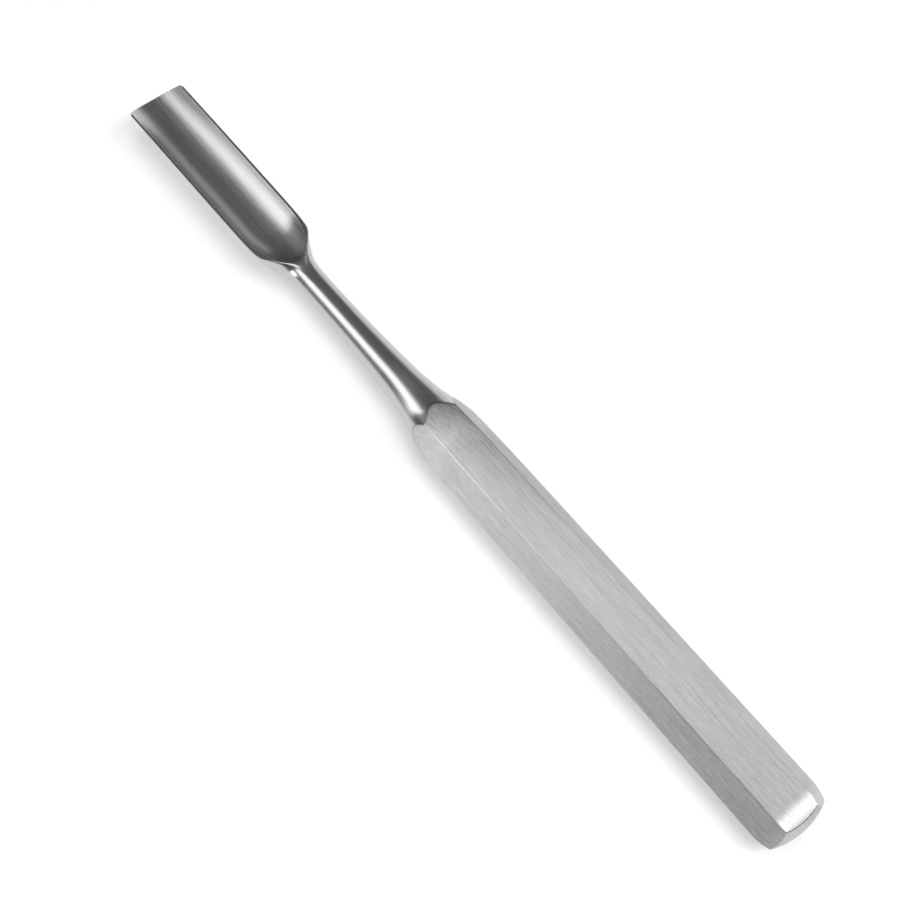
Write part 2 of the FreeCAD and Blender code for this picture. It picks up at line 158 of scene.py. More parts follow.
# %% [markdown]
# Without its flats and its channel the tool would look turned.  The blade is nearly a cylinder, whose
# circle runs through both rims and the keel.  Its radius shrinks into the neck at the shoulder, the
# neck is one long hollow arc, and the flare widens faster to the sides than upward, because the bar
# behind it is wider than it is high.  A spline through a few radii is enough for the two turns that
# no single arc follows, the shoulder and the flare.

# %% The round form: blade, shoulder, neck and flare
def along_blade(x, tip, back):
    return tip + (back - tip) * (x - EDGE_BACK) / (SHOULDER - EDGE_BACK)


def rim(x):
    return along_blade(x, RIM_TIP, RIM_BACK)


def keel(x):
    return np.minimum(along_blade(x, KEEL_TIP, WAIST), WAIST)


def blade_circle(x, narrowing):
    """Radius and centre of the circle through both rims and the keel."""
    depth = rim(x) + keel(x)
    radius = ((HALF_BLADE - narrowing) ** 2 + depth ** 2) / (2 * depth)
    return radius, radius - keel(x)


BLADE_FRONT, BLADE_BACK, DRAWN_IN = -4.0, SHOULDER - 8.8, 0.14
front_circle, back_circle = blade_circle(BLADE_FRONT, 0.0), blade_circle(BLADE_BACK, DRAWN_IN)
shoulder_radius = through([(BLADE_BACK, back_circle[0])] + [
    (SHOULDER + behind, WAIST + (HALF_BLADE - WAIST) * share) for behind, share in (
        (-6.8, 0.960), (-4.8, 0.947), (-2.8, 0.924), (-1.0, 0.885), (0.8, 0.785), (2.4, 0.540),
        (4.0, 0.308), (5.6, 0.135), (7.2, 0.047), (9.0, 0.012), (11.0, 0.001), (13.0, 0.0))])


def neck_radius(x):
    return WAIST + NECK_SWEEP - np.sqrt(NECK_SWEEP ** 2 - (x - WAIST_X) ** 2)


FLARE = [(-10.7, 0.92, 0.84), (-8.2, 1.17, 0.92), (-5.7, 1.51, 1.02), (-3.2, 1.94, 1.19),
         (-1.2, 2.42, 1.46), (0.8, 3.02, 1.94), (2.8, 3.65, 2.76), (4.8, 4.25, 3.80), (6.8, 4.80, 4.60)]
FLARE_END = HANDLE_START + FLARE[-1][0]
flare_foot = [(FLARE_X, neck_radius(FLARE_X))]
flare_wide = through(flare_foot + [(HANDLE_START + x, WAIST + w) for x, w, h in FLARE])
flare_high = through(flare_foot + [(HANDLE_START + x, WAIST + h) for x, w, h in FLARE])


def round_form(x):
    """Half width, half height and centre of the ellipse at x."""
    share = (x - BLADE_FRONT) / (BLADE_BACK - BLADE_FRONT)
    if x < BLADE_BACK:
        (r0, c0), (r1, c1) = front_circle, back_circle
        return r0 + (r1 - r0) * share, r0 + (r1 - r0) * share, c0 + (c1 - c0) * share
    if x < WAIST_X:
        radius = float(shoulder_radius(x))
        return radius, radius, radius - WAIST if x > SHOULDER else radius - float(keel(x))
    if x < FLARE_X:
        return float(neck_radius(x)), float(neck_radius(x)), 0.0
    beyond = max(x - FLARE_END, 0.0)
    return float(flare_wide(x)) + beyond, float(flare_high(x)) + beyond, 0.0


print("half widths of the round form:",
      {x: round(round_form(x)[0], 2) for x in (10, 50, WAIST_X, 85, 100)})


# %% [markdown]
# On the real tool the grinder takes metal off the round form: six flats along the handle, the channel,
# the plane of the rims and the bevel.  Nobody draws the arcs in which the flats end on the neck.  They
# come about where a flat meets the round form, and they come about here in the same way.

# %% What trims the round form: the hexagonal bar, the channel and the bevel
taper_wide = through([(HANDLE_START + x, share) for x, share in (
    (-BAR_AHEAD, 0.888), (3, 0.950), (10, 0.980), (19, 0.993), (31, 0.998), (TAPER, 1.0))])
taper_flat = through([(HANDLE_START + x, share) for x, share in (
    (-BAR_AHEAD, 0.835), (3, 0.920), (10, 0.963), (19, 0.987), (31, 0.997), (TAPER, 1.0))])
CLEAR = 20.0
CORNER_ROLL, FLAT_ROLL = 1.1, 0.45


def bar(x):
    """Half width at the corners, half width and height of the flats at x."""
    if x < HANDLE_START - BAR_AHEAD:
        return CLEAR, CLEAR / 2, CLEAR
    inset = max(x - (LENGTH - ROLL), 0.0) ** 2 / 2 / ROLL_RADIUS
    return (HANDLE_WIDTH / 2 * float(taper_wide(x)) - CORNER_ROLL * inset,
            FACET / 2 * float(taper_flat(x)) - FLAT_ROLL * inset, HANDLE_HEIGHT / 2 - inset)


def channel_radius(x):
    """The channel is cut around a line above the blade, and lifts out on a long arc."""
    rise = SCOOP_RADIUS - math.sqrt(SCOOP_RADIUS ** 2 - min(max(x - SCOOP, 0.0), 0.9 * SCOOP_RADIUS) ** 2)
    return max(CHANNEL - rise, 0.0)


LEAN = EDGE_BACK / (RIM_TIP - (CHANNEL_AXIS - CHANNEL))
NARROW = (CHANNEL + LAND) / (CHANNEL - EDGE_ROUND)


def bevel_reach(x, depth):
    """How far from the channel's line the bevel lies, at x and that far below the line."""
    return CHANNEL + LAND + BEVEL * (x + LEAN * (depth - CHANNEL - LAND))


def mouth(x):
    """Half width of the channel between its two rims."""
    radius, _, centre = round_form(x)
    r = channel_radius(x)
    z = (CHANNEL_AXIS ** 2 - centre ** 2 - r ** 2 + radius ** 2) / (2 * (CHANNEL_AXIS - centre))
    z = min(z, rim(x))
    return math.sqrt(max(r ** 2 - (CHANNEL_AXIS - z) ** 2, 0.0)) if x < WAIST_X else 0.0


def outer(x):
    """Half width of the whole section."""
    wide, tall, centre = round_form(x)
    widest = min(wide, bar(x)[0])
    if x < WAIST_X and centre > rim(x):
        widest = wide * math.sqrt(1 - ((rim(x) - centre) / wide) ** 2)
    if x < SCOOP:
        depth = CHANNEL_AXIS - rim(x)
        widest = min(widest, math.sqrt(bevel_reach(x, depth) ** 2 - depth ** 2) / NARROW)
    return widest


def edge_corner():
    """Where the cutting edge meets the rims."""
    half, depth = mouth(EDGE_BACK), CHANNEL_AXIS - rim(EDGE_BACK)
    across = math.hypot(NARROW * half, depth)
    return (across - CHANNEL - LAND) / BEVEL - LEAN * (depth - CHANNEL - LAND)


print("the corners of the edge lie", round(edge_corner(), 2), "mm behind its middle")


# %% [markdown]
# An even grid would waste its rows on the straight handle and be too coarse at the scooped end.  So
# the rows lie close together at the edge, the shoulder, the flare and the butt, and wide apart between
# them.  The first rows lean with the cutting edge and straighten up over the first 8 mm.

# %% The rows, closer together where the shape changes quickly
def run(start, end, count, ease=1.0):
    return [start + (end - start) * (i / count) ** ease for i in range(count)]


scoop_end = next(x / 100 for x in range(5000, 6500) if mouth(x / 100) == 0.0)
TIP_ZONE, THINNEST = 8.0, 0.25
CORNER = edge_corner()
CREASE, BUTT = LENGTH - 2.0, LENGTH - 0.8
stations = (run(0, 1, 10, 1.5) + run(1, TIP_ZONE, 26) + run(TIP_ZONE, 42, 34) + run(42, 50, 20)
            + [scoop_end - (scoop_end - 50) * (1 - i / 44) ** 1.8 for i in range(44)]
            + run(scoop_end, 60, 9) + run(60, 66, 18) + run(66, FLARE_X, 30) + run(FLARE_X, 99, 22)
            + run(99, 111, 52) + run(111, 125, 16) + run(125, LENGTH - ROLL, 26)
            + run(LENGTH - ROLL, CREASE, 12) + run(CREASE, BUTT, 16))
CAP_ROWS = 24
print(len(stations), "stations along the tool; the scooped end is at", scoop_end, "mm")


# %% The numbers of a row
def steps(x, *points):
    """A value that runs straight from point to point."""
    return float(np.interp(x, *zip(*points)))


NOSE_FALL, NOSE_START, NOSE_LENGTH = 0.10, 120.0, 17.0


def nose(x):
    """How far the upper flat falls as it nears the neck."""
    return NOSE_FALL * max((NOSE_START - x) / NOSE_LENGTH, 0.0) ** 2


def inner_line(x):
    """Where the inner columns end: at the rims, then nowhere special, then at the flat's edge."""
    if x < scoop_end:
        return max(mouth(x), THINNEST)
    if x < HANDLE_START + 0.8:
        return steps(x, (scoop_end, THINNEST), (scoop_end + 1.5, 0.8), (scoop_end + 6, 1.5),
                     (85, 1.8), (98, 2.8), (102, 3.3), (104, 3.55))
    return bar(x)[1]


rows = {}


def add_row(x, fuse=0.0, shrink=1.0):
    t = min(x / TIP_ZONE, 1.0)
    lean = 1 - 3 * t ** 2 + 2 * t ** 3
    at = x + lean * CORNER
    wide, tall, centre = round_form(at)
    corner, flat, height = bar(at)
    line, edge = inner_line(at), outer(at)
    # how far polishing has rounded each edge, how softly forms meet, how crowned the upper flat is and
    # how strongly the edges are rubbed smooth and painted lighter as a highlight; no rounding takes more
    # than its share of the gap
    round_line = steps(at, (EDGE_BACK, 0.02), (4, 0.04), (45, 0.04), (58, 0.06), (60, 0.04), (98, 0.04),
                       (104, 0.14), (110, 0.17), (128, 0.15), (150, 0.06))
    round_edge = steps(at, (EDGE_BACK, 0.02), (4, 0.03), (51, 0.03), (53, 0.01), (104, 0.01),
                       (107, 0.10), (110, 0.14))
    soft = steps(at, (46, 0.03), (51, 0.55), (60, 0.55), (66, 0.1), (98, 0.1), (105, 0.15))
    crown = steps(at, (100, 0.20), (112, 0.18), (130, 0.12), (160, 0.05), (LENGTH, 0.02))
    keen = steps(at, (scoop_end - 2, 0.25), (scoop_end + 2, 0.0), (HANDLE_START - 2, 0.0),
                 (HANDLE_START + 2, 1.0), (130, 1.0), (155, 0.3))
    most = 0.3 * (edge - line)
    row = {
        "station": x if shrink == 1.0 else LENGTH + ROLL, "lean": lean, "fuse": fuse, "shrink": shrink,
        "wide": wide, "tall": tall, "centre": centre, "rim": rim(at) if at < WAIST_X else CLEAR,
        "channel": channel_radius(at), "corner": corner, "flat": flat, "height": height,
        "line": line, "edge": edge, "round_line": min(round_line, most, 0.5 * line),
        "round_edge": min(round_edge, most), "soft": soft, "crown": crown,
        "nose": nose(max(at, HANDLE_START - 0.5)), "keen": keen}
    for name, value in row.items():
        rows.setdefault(name, []).append(value)


add_row(0.0, fuse=1.0)
for x in stations:
    add_row(x)
for i in range(1, CAP_ROWS + 1):
    add_row(BUTT, shrink=math.cos(math.pi / 2 * i / CAP_ROWS))
print(len(rows["station"]), "rows of", len(rows), "numbers")

# %% [markdown]
# A column keeps to one feature all along the tool: the rim of the channel runs on as the edge of the
# upper flat, and the outer edge of the blade as the corner of the bar.  That keeps a line of points on
# every edge, so the edges stay crisp however the light falls.

# %% The columns, one round of the section
columns = {name: [] for name in ("to_line", "to_edge", "off_line", "off_edge", "side", "upper", "ridge")}
INNER, OUTER, PULLED_IN = 22, 18, 0.35
# shares of the way out to the line and on to the edge, and of the roundings that pull a point back
half_round = [(i / INNER, 0.0, -i / INNER, 0.0) for i in range(INNER + 1)] + [(1.0, 0.0, 0.0, 0.0)]
half_round += [(1.0, q, 1 - q, -q) for q in (math.sin(math.pi / 2 * i / OUTER) for i in range(OUTER + 1))]
extreme = (1.0, 1.0, 0.0, -PULLED_IN)


def add_column(shares, side, upper):
    ridge = 1.0 if shares in ((1.0, 0.0, 0.0, 0.0), extreme) else 0.0
    for name, value in zip(columns, (*shares, side, upper, ridge)):
        columns[name].append(value)


for side, upper, order in ((1, 1, 1), (1, 0, -1), (-1, 0, 1), (-1, 1, -1)):
    for shares in half_round[::order]:
        add_column(shares, side, upper)
    if order == 1:
        add_column(extreme, side, 0.5)
print(len(columns["side"]), "columns")


# %% Both tables as points
def points_with(name, table):
    """A row of loose points that carry the table's numbers as attributes."""
    count = len(next(iter(table.values())))
    mesh = bpy.data.meshes.new(name)
    mesh.from_pydata([(0.0, 0.0, i * MM) for i in range(count)], [], [])
    for key, values in table.items():
        mesh.attributes.new(key, "FLOAT", "POINT").data.foreach_set("value", values)
    obj = bpy.data.objects.new(name, mesh)
    bpy.context.scene.collection.objects.link(obj)
    return obj


gouge = points_with("bone_gouge", rows)
ring = points_with("ring", columns)
print("the skin will have", len(gouge.data.vertices) * len(ring.data.vertices), "points before merging")

# %% [markdown]
# The tree lays a plain grid, one point for each row and column, reads the sizes of its row and the
# place of its column, and moves each point to where the rule puts it.  Smooth minimum, rather than
# plain minimum, leaves the small radius that polishing gives to every edge.  The tree also writes
# five marks on the skin for the metal to read: ground, on the flats of the bar; upper_flat, on the
# one that faces up; hollow, inside the channel; arris, along every edge; and seam, where a flat dies
# out into the round neck.

# %% The inputs of the tree
tree = bpy.data.node_groups.new("skin_by_rule", "GeometryNodeTree")
tree.interface.new_socket(name="rows", in_out="INPUT", socket_type="NodeSocketGeometry")
tree.interface.new_socket(name="skin", in_out="OUTPUT", socket_type="NodeSocketGeometry")
named = {name: tree.interface.new_socket(name=name, in_out="INPUT", socket_type=kind) for name, kind in (
    ("columns", "NodeSocketObject"), ("metal", "NodeSocketMaterial"))}
tree_sizes = {
    "channel axis": CHANNEL_AXIS, "channel radius": CHANNEL, "lean": LEAN, "land": LAND,
    "bevel slope": BEVEL, "length": LENGTH, "dome wide": DOME_WIDE, "dome high": DOME_HIGH,
    "narrow": NARROW, "mouth at tip": mouth(EDGE_BACK), "to metres": MM,
    "height of axis": HANDLE_HEIGHT / 2}
for name in tree_sizes:
    named[name] = tree.interface.new_socket(name=name, in_out="INPUT", socket_type="NodeSocketFloat")
print(len(named), "inputs:", ", ".join(named))

# %% The grid, and the numbers that each point reads
start = tree.nodes.new("NodeGroupInput")
size = {name: start.outputs[name] for name in named}
row_points = start.outputs["rows"]
column_points = add(tree, "GeometryNodeObjectInfo", size["columns"], out="Geometry")
row_count = add(tree, "GeometryNodeAttributeDomainSize", row_points, component="MESH")
column_count = add(tree, "GeometryNodeAttributeDomainSize", column_points, component="MESH")
grid = add(tree, "GeometryNodeMeshGrid", 1.0, 1.0, row_count, column_count)
index = add(tree, "GeometryNodeInputIndex")
row = add(tree, "FLOOR", add(tree, "DIVIDE", index, column_count))
column = add(tree, "SUBTRACT", index, add(tree, "MULTIPLY", row, column_count))


def read(points, place, name):
    value = add(tree, "GeometryNodeInputNamedAttribute", name, data_type="FLOAT")
    return add(tree, "GeometryNodeSampleIndex", points, value, place, data_type="FLOAT", domain="POINT")


of_row = {name: read(row_points, row, name) for name in rows}
of_column = {name: read(column_points, column, name) for name in columns}
print("each point reads", len(of_row), "numbers of its row and", len(of_column), "of its column")

# %% [markdown]
# From here on each cell works out one more thing about all points at once.  First come y, how far a
# point lies from the middle plane, and x, how far behind the cutting edge.  Then two heights are
# worked out for each place, the top and the bottom of the section, and form after form trims them.

# %% Across and along
EDGE_SOFT = 0.4

# across: y counts out to the channel's mouth or the flat's edge, and then to the outer edge
gap = add(tree, "SUBTRACT", of_row["edge"], of_row["line"])
y = add(tree, "MULTIPLY", of_column["to_line"], of_row["line"])
y = add(tree, "MULTIPLY_ADD", of_column["to_edge"], gap, y)
y = add(tree, "MULTIPLY_ADD", of_column["off_line"], of_row["round_line"], y)
y = add(tree, "MULTIPLY_ADD", of_column["off_edge"], of_row["round_edge"], y)
y2 = add(tree, "MULTIPLY", y, y)

# along: the cutting edge lies in a leaning plane, so its middle leads, and the bevel rounds its corners
outside = add(tree, "ADD", size["channel radius"], size["land"])
lean_slope = add(tree, "MULTIPLY", size["bevel slope"], size["lean"])
reach = add(tree, "MINIMUM", y, size["mouth at tip"])
depth = add(tree, "MULTIPLY", size["channel radius"], size["channel radius"])
depth = add(tree, "SQRT", add(tree, "SUBTRACT", depth, add(tree, "MULTIPLY", reach, reach)))
on_plane = add(tree, "MULTIPLY", add(tree, "SUBTRACT", size["channel radius"], depth), size["lean"])
across = add(tree, "MULTIPLY", reach, size["narrow"])
across = add(tree, "MULTIPLY_ADD", across, across, add(tree, "MULTIPLY", depth, depth))
on_bevel = add(tree, "SUBTRACT", add(tree, "SQRT", across), outside)
on_bevel = add(tree, "DIVIDE", on_bevel, size["bevel slope"])
on_bevel = add(tree, "MULTIPLY_ADD", size["lean"], add(tree, "SUBTRACT", outside, depth), on_bevel)
edge = add(tree, "SMOOTH_MAX", on_plane, on_bevel, EDGE_SOFT)
x = add(tree, "MULTIPLY_ADD", of_row["lean"], edge, of_row["station"])
print(len(tree.nodes), "nodes up to x and y")

# %% The round form, the channel and the bevel
# forms melt into each other over so many mm, or so many times the row's own rounding, and a mark
# fades by so much to the mm
LINE_SOFT, BEVEL_SOFT, HOLLOW_FADE = 1.5, 0.05, 8.0

# the round form, above and below
share = add(tree, "DIVIDE", y, of_row["wide"])
lobe = add(tree, "SUBTRACT", 1.0, add(tree, "MULTIPLY", share, share))
lobe = add(tree, "MULTIPLY", of_row["tall"], add(tree, "SQRT", add(tree, "MAXIMUM", lobe, 0.0)))
top = add(tree, "ADD", of_row["centre"], lobe)
bottom = add(tree, "SUBTRACT", of_row["centre"], lobe)

# the rims and the channel trim it from above
top = add(tree, "SMOOTH_MIN", top, of_row["rim"], of_row["soft"])
whole = top
cut = add(tree, "SUBTRACT", add(tree, "MULTIPLY", of_row["channel"], of_row["channel"]), y2)
cut = add(tree, "SUBTRACT", size["channel axis"], add(tree, "SQRT", add(tree, "MAXIMUM", cut, 0.0)))
top = add(tree, "SMOOTH_MIN", top, cut, add(tree, "MULTIPLY", of_row["round_line"], LINE_SOFT))
hollow = add(tree, "SUBTRACT", whole, cut)
hollow = add(tree, "MULTIPLY_ADD", hollow, HOLLOW_FADE, 0.5, use_clamp=True)
hollow = add(tree, "MULTIPLY", hollow, of_column["upper"])

# the bevel trims it from below: the depth at which its reach is the distance from the channel's line
behind = add(tree, "SUBTRACT", x, add(tree, "MULTIPLY", size["lean"], outside))
cone = add(tree, "MULTIPLY_ADD", size["bevel slope"], behind, outside)
cone_slope = add(tree, "MULTIPLY", cone, lean_slope)
rest = add(tree, "SUBTRACT", 1.0, add(tree, "MULTIPLY", lean_slope, lean_slope))
across = add(tree, "MULTIPLY", y, size["narrow"])
root = add(tree, "SUBTRACT", add(tree, "MULTIPLY", cone, cone), add(tree, "MULTIPLY", across, across))
root = add(tree, "MULTIPLY_ADD", root, rest, add(tree, "MULTIPLY", cone_slope, cone_slope))
root = add(tree, "SQRT", add(tree, "MAXIMUM", root, 0.0))
bevel = add(tree, "DIVIDE", add(tree, "ADD", cone_slope, root), rest)
bevel = add(tree, "SUBTRACT", size["channel axis"], bevel)
bottom = add(tree, "SMOOTH_MAX", bottom, bevel, BEVEL_SOFT)
print(len(tree.nodes), "nodes up to the blade")

# %% The flats of the bar, which trim it from above and below
UPPER_FADE, GROUND_FADE, SEAM_FADE = 4.0, 6.0, 9.0

slope = add(tree, "DIVIDE", add(tree, "SUBTRACT", of_row["corner"], y),
            add(tree, "SUBTRACT", of_row["corner"], of_row["flat"]))
share = add(tree, "DIVIDE", y, of_row["flat"])
fall = add(tree, "MULTIPLY_ADD", add(tree, "MULTIPLY", share, share), of_row["crown"], of_row["nose"])
flat = add(tree, "SUBTRACT", of_row["height"], add(tree, "MULTIPLY", fall, of_column["upper"]))
facet = add(tree, "MULTIPLY", slope, of_row["height"])
upper_flat = add(tree, "SUBTRACT", facet, flat)
upper_flat = add(tree, "MULTIPLY_ADD", upper_flat, UPPER_FADE, 0.3, use_clamp=True)
flats = add(tree, "SMOOTH_MIN", flat, facet, of_row["round_line"])
over = add(tree, "SUBTRACT", top, flats)
under = add(tree, "MULTIPLY", add(tree, "ADD", bottom, flats), -1.0)
ground = add(tree, "SUBTRACT", over, under)
beyond_flats = add(tree, "MULTIPLY_ADD", ground, of_column["upper"], under)
ground = add(tree, "MULTIPLY_ADD", beyond_flats, GROUND_FADE, 0.5, use_clamp=True)
upper_flat = add(tree, "MULTIPLY", upper_flat, add(tree, "MULTIPLY", ground, of_column["upper"]))
seam = add(tree, "ABSOLUTE", add(tree, "ADD", beyond_flats, 0.02))
seam = add(tree, "MULTIPLY_ADD", seam, -SEAM_FADE, 1.0, use_clamp=True)
top = add(tree, "SMOOTH_MIN", top, flats, of_row["soft"])
bottom = add(tree, "SMOOTH_MAX", bottom, add(tree, "MULTIPLY", flats, -1.0), of_row["soft"])

# upper columns take the top, lower ones the bottom, and the side and the cutting edge lie between
upper = add(tree, "SUBTRACT", 0.5, of_column["upper"])
upper = add(tree, "MULTIPLY_ADD", upper, of_row["fuse"], of_column["upper"])
z = add(tree, "SUBTRACT", top, bottom)
z = add(tree, "MULTIPLY_ADD", z, upper, bottom)
print(len(tree.nodes), "nodes up to the handle")

# %% The butt, where each section shrinks to nothing under a dome
BUTT_SOFT, CREASE_FADE = 0.15, 5.0

y = add(tree, "MULTIPLY", y, of_row["shrink"])
z = add(tree, "MULTIPLY", z, of_row["shrink"])
hub = add(tree, "SUBTRACT", size["dome wide"], size["dome high"])
arc = add(tree, "MULTIPLY", size["dome high"], size["dome high"])
arc = add(tree, "SUBTRACT", arc, add(tree, "MULTIPLY", z, z))
arc = add(tree, "ADD", hub, add(tree, "SQRT", arc))
arc = add(tree, "SUBTRACT", add(tree, "MULTIPLY", arc, arc), add(tree, "MULTIPLY", y, y))
dome = add(tree, "ADD", add(tree, "SUBTRACT", size["length"], size["dome wide"]), add(tree, "SQRT", arc))
crease = add(tree, "ABSOLUTE", add(tree, "SUBTRACT", dome, x))
crease = add(tree, "MULTIPLY_ADD", crease, -CREASE_FADE, 1.0, use_clamp=True)
arris = add(tree, "MULTIPLY", of_column["ridge"], of_row["keen"])
arris = add(tree, "MAXIMUM", arris, crease)
x = add(tree, "SMOOTH_MIN", x, dome, BUTT_SOFT)
print(len(tree.nodes), "nodes up to the butt")

# %% The points in place, with their marks
SAME_POINT = 0.0002 * MM

# into metres, with the middle of the length over the origin and the lower flat on the ground
x = add(tree, "SUBTRACT", x, add(tree, "MULTIPLY", size["length"], 0.5))
y = add(tree, "MULTIPLY", y, of_column["side"])
z = add(tree, "ADD", z, size["height of axis"])
place = add(tree, "ShaderNodeCombineXYZ", x, y, z)
place = add(tree, "ShaderNodeVectorMath", place, size["to metres"], operation="SCALE")
skin = add(tree, "GeometryNodeSetPosition", grid, None, place)
for name, value in {"ground": ground, "hollow": hollow, "arris": arris, "seam": seam,
                    "upper_flat": upper_flat}.items():
    skin = add(tree, "GeometryNodeStoreNamedAttribute", skin, None, name, value,
               data_type="FLOAT", domain="POINT")
skin = add(tree, "GeometryNodeMergeByDistance", skin, None, SAME_POINT)
skin = add(tree, "GeometryNodeSetShadeSmooth", skin, None, True)
skin = add(tree, "GeometryNodeRealizeInstances", skin)
skin = add(tree, "GeometryNodeSetMaterial", skin, None, size["metal"])
tree.links.new(skin, tree.nodes.new("NodeGroupOutput").inputs[0])
print(len(tree.nodes), "nodes in all")

# %% The skin as a mesh
steel = bpy.data.materials.new("satin_stainless_steel")
modifier = gouge.modifiers.new("skin", "NODES")
modifier.node_group = tree
modifier[named["columns"].identifier] = ring
modifier[named["metal"].identifier] = steel
for name, value in tree_sizes.items():
    modifier[named[name].identifier] = value
bpy.context.view_layer.update()
grown = gouge.evaluated_get(bpy.context.evaluated_depsgraph_get())
skin_mesh = bpy.data.meshes.new_from_object(grown)
gouge.modifiers.clear()
gouge.data = skin_mesh
bpy.data.objects.remove(ring)
print(len(skin_mesh.vertices), "points and", len(skin_mesh.polygons), "faces")

# %% [markdown]
# The steel is one metal with three finishes.  The flats of the bar are ground on a belt, the neck is
# polished, and the channel is left between the two.  Each finish is a roughness.  All of them were
# worked along the tool, so the highlights are drawn out across it: that is what the anisotropy does,
# with a tangent that runs round the bar.  Edges are rubbed smoother by hands and cloths, and they are
# also painted lighter: rubbed wear together with a painted highlight for the line of light along them.
# Three materials on three pieces could show the same, but the real finishes fade into each other, so
# the marks that the tree wrote on the skin mix them inside one material.

# %% Where each finish lies
ROUGH_GROUND, ROUGH_NECK, ROUGH_HOLLOW, ROUGH_ARRIS = 0.42, 0.21, 0.29, 0.16
DRAWN_ACROSS = 0.75

steel.use_nodes = True
metal = steel.node_tree
shader = metal.nodes["Principled BSDF"]
shader.inputs["Metallic"].default_value = 1.0
shader.inputs["Anisotropic"].default_value = DRAWN_ACROSS
mark = {name: add(metal, "ShaderNodeAttribute", attribute_name=name, out="Fac")
        for name in ("ground", "hollow", "arris", "seam", "upper_flat")}
lengthwise = add(metal, "ShaderNodeVectorTransform", (1.0, 0.0, 0.0),
                 vector_type="VECTOR", convert_from="OBJECT", convert_to="WORLD")
facing = add(metal, "ShaderNodeNewGeometry", out="Normal")
round_bar = add(metal, "ShaderNodeVectorMath", facing, lengthwise, operation="CROSS_PRODUCT")
round_bar = add(metal, "ShaderNodeVectorMath", round_bar, operation="NORMALIZE")
metal.links.new(round_bar, shader.inputs["Tangent"])
print("roughness", ROUGH_GROUND, "on the flats,", ROUGH_NECK, "on the neck and",
      ROUGH_HOLLOW, "in the channel")

# %% [markdown]
# A belt leaves short scratches that lie almost, but not quite, along the bar.  Noise that is stretched
# lengthwise draws them, and unlike a painted picture it stays sharp close up and has no seam on the
# edges of the bar.  The belt's own scratches are a few hundredths of a millimetre wide, too fine
# to show, so they are drawn coarser, about 0.2 mm by 2.4 mm, as they look from arm's length.
# The marks are deepest beside the neck, where the belt bites as it leaves the flat, and toward the
# butt a second, softer set crosses them at a slant.  In the channel they are drawn out long.

# %% The scratches
place = add(metal, "ShaderNodeTexCoord", out="Object")
in_mm = add(metal, "ShaderNodeVectorMath", place, 1 / MM, operation="SCALE")
from_middle = add(metal, "ShaderNodeSeparateXYZ", in_mm, out="X")
from_side = add(metal, "ShaderNodeSeparateXYZ", in_mm, out="Y")
NECK_END, BUTT_END = HANDLE_START - LENGTH / 2, LENGTH / 2
# so far behind the neck the belt's bite has eased, and the marks that cross it begin
FADE, CROSS_START = 38.0, 20.0


def scratches(slant, per_mm_along, per_mm_across):
    """Noise stretched along the bar, turned by a few degrees about the upright: so many marks to a
    millimetre along it, and so many across it."""
    turned = add(metal, "ShaderNodeVectorRotate", in_mm, None, math.radians(slant), rotation_type="Z_AXIS")
    drawn = add(metal, "ShaderNodeVectorMath", turned, (per_mm_along, per_mm_across, per_mm_across),
                operation="MULTIPLY")
    return add(metal, "ShaderNodeTexNoise", drawn, 1.0, 2.0, 0.6)


BELT_SLANT, CROSS_SLANT = -3.0, -13.0
NECK_BITE, BUTT_BITE, CHANNEL_BITE = 0.06, 0.55, 0.55

belt = add(metal, "SUBTRACT", scratches(BELT_SLANT, 0.42, 5.2), 0.5)
cross = add(metal, "SUBTRACT", scratches(CROSS_SLANT, 0.55, 3.0), 0.5)
streak = add(metal, "SUBTRACT", scratches(1.0, 0.09, 2.4), 0.5)
cloud = scratches(4.0, 0.10, 0.22)
by_neck = add(metal, "ShaderNodeMapRange", from_middle, NECK_END, NECK_END + FADE, 1.0, 0.30)
by_butt = add(metal, "ShaderNodeMapRange", from_middle, NECK_END + CROSS_START, BUTT_END, 0.1, BUTT_BITE)
belt = add(metal, "MULTIPLY", belt, add(metal, "MULTIPLY_ADD", mark["ground"], by_neck, NECK_BITE))
cross = add(metal, "MULTIPLY", cross, add(metal, "MULTIPLY", mark["ground"], by_butt))
streak = add(metal, "MULTIPLY", streak, add(metal, "MULTIPLY", mark["hollow"], CHANNEL_BITE))
scratch = add(metal, "ADD", add(metal, "ADD", belt, cross), streak)
print("belt marks at", BELT_SLANT, "degrees, cross marks at", CROSS_SLANT, "degrees")

# %% [markdown]
# The colour varies too: a cooler grey and a warmer one drift into each other in long clouds, the
# scratches are a shade darker in their floors, and the seams are painted darker: painted shade for
# the dark line along the crease.
# The upper flat has painted shade beside the neck and along its right side, and a painted highlight
# along its left edge.

# %% The colour
# the seam grey is painted shade for the dark line along the crease
COOL, WARM, SEAM_SHADE, RUBBED_AND_HIGHLIGHT = colour("#C3C4C4"), colour("#C4C4C2"), colour("#8E8D8C"), colour("#D6D6D6")
CLOUD_LOW, CLOUD_HIGH, CLOUD_SHADE = 0.35, 0.65, 0.12
# the rubbed grey and its share: rubbed wear and a painted highlight on the edges
SEAM_SHADE_SHARE, RUBBED_HIGHLIGHT_SHARE = 0.7, 0.6
# painted shade on the upper flat: so much by the arc at the neck, fading over so many mm, and so much
# toward its right side
ARC_SHADE, ARC_FADE, RIGHT_SHADE = 0.35, 8.0, 0.30

clouds = add(metal, "ShaderNodeMapRange", cloud, CLOUD_LOW, CLOUD_HIGH, 0.0, 1.0)
tone = add(metal, "ShaderNodeMix", clouds, COOL, WARM, data_type="RGBA")
